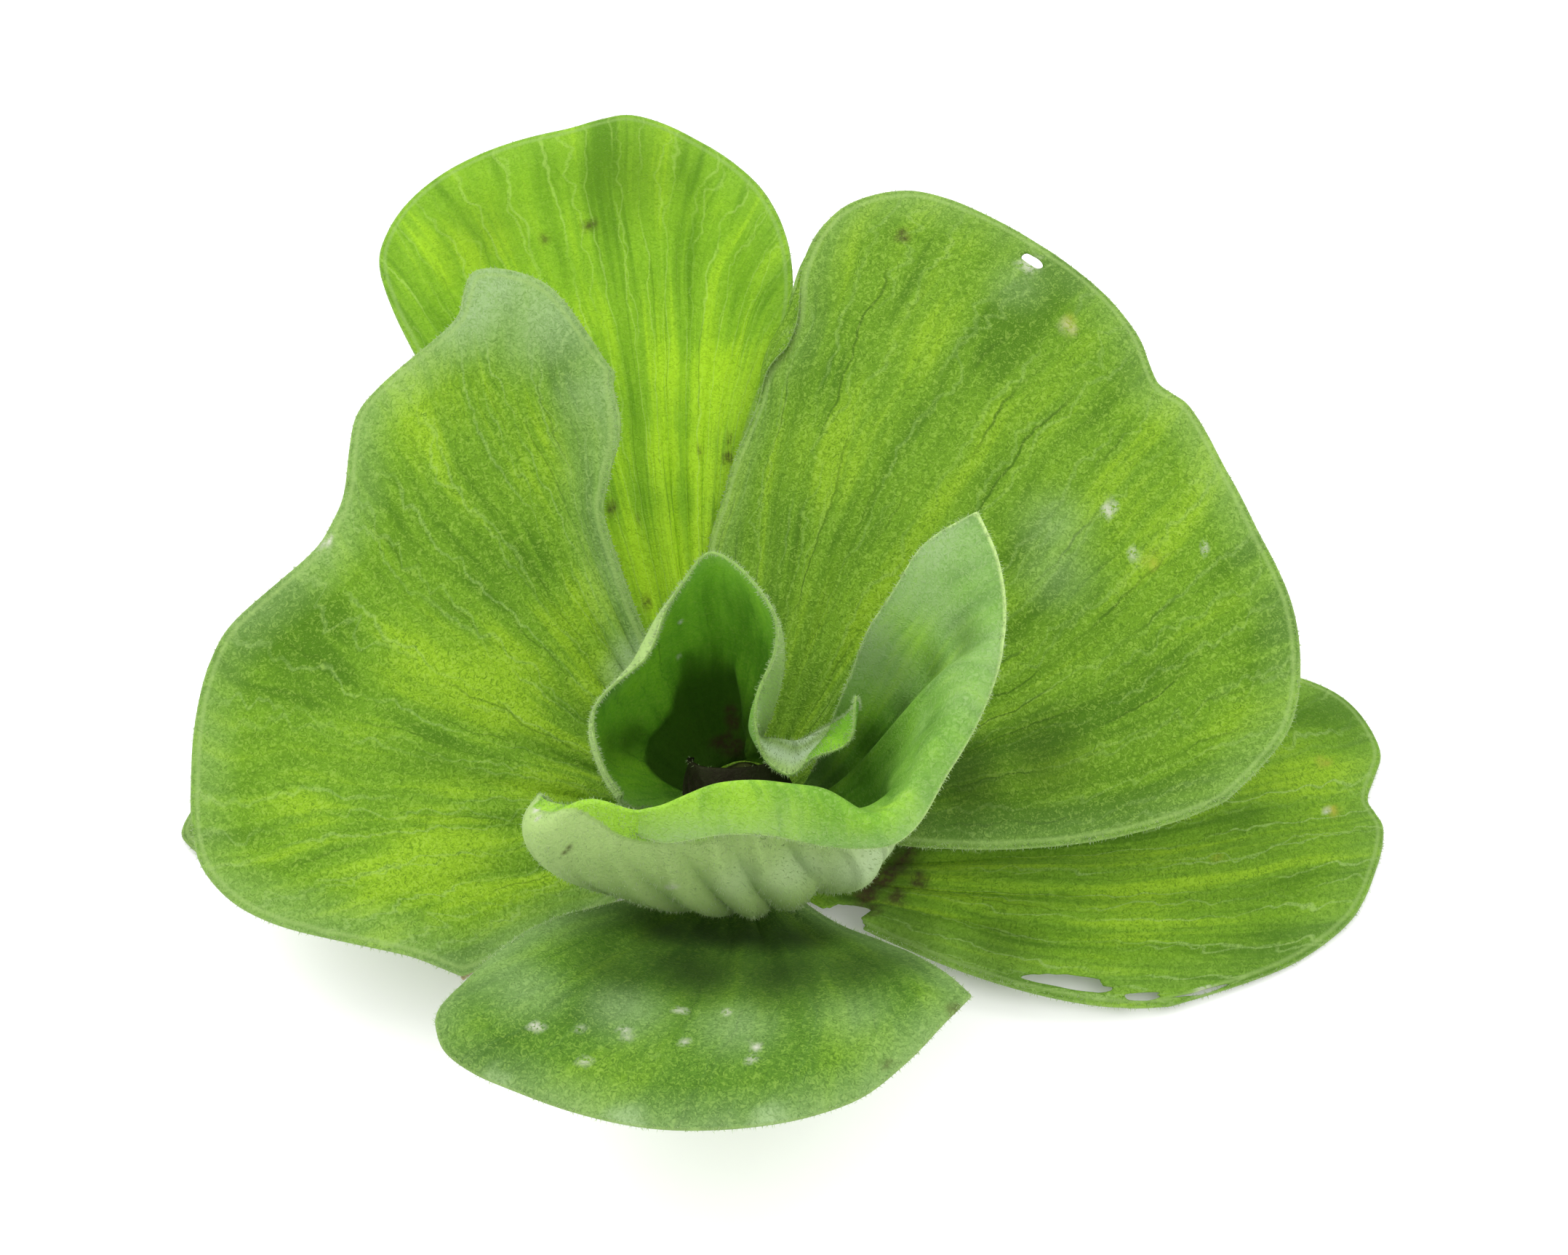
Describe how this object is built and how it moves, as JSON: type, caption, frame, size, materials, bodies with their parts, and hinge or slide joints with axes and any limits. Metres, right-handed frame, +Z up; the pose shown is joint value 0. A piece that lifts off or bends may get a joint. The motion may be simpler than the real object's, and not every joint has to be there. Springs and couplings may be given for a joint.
{
  "type": "water lettuce plant",
  "caption": "Floating water plant as picked: a rosette of soft, ribbed, fan-shaped leaves round a folded heart, on a short crown with trailing roots.",
  "frame": {"origin": "the centre of the crown's flat foot, on the surface the plant rests on", "axes": "+Z up, along the crown; -Y towards the plant's front, where the folded heart opens; +X to its right, seen from the front"},
  "size_m": [0.129, 0.1197, 0.0502],
  "materials": {
    "leaf": "bright yellow-green leaf with a fine velvety nap, matt",
    "young_leaf": "pale green leaf with a dense whitish nap, matt",
    "old_leaf": "mid-green leaf with a thin nap and scars, matt",
    "crown": "brown-green spongy stem, rough",
    "root": "pale tan root, rough and fibrous"
  },
  "bodies": {
    "root": {"crown": "crown", "leaf_old_right": "old_leaf", "leaf_old_left": "old_leaf", "leaf_back": "leaf", "leaf_front": "old_leaf", "leaf_right": "leaf", "leaf_left": "leaf", "leaf_cup": "young_leaf", "leaf_heart": "young_leaf", "leaf_bud": "young_leaf", "root_1": "root", "root_2": "root", "root_3": "root", "root_4": "root", "root_5": "root", "root_6": "root", "root_7": "root", "root_8": "root", "root_9": "root", "root_10": "root", "root_11": "root"}
  },
  "joints": []
}
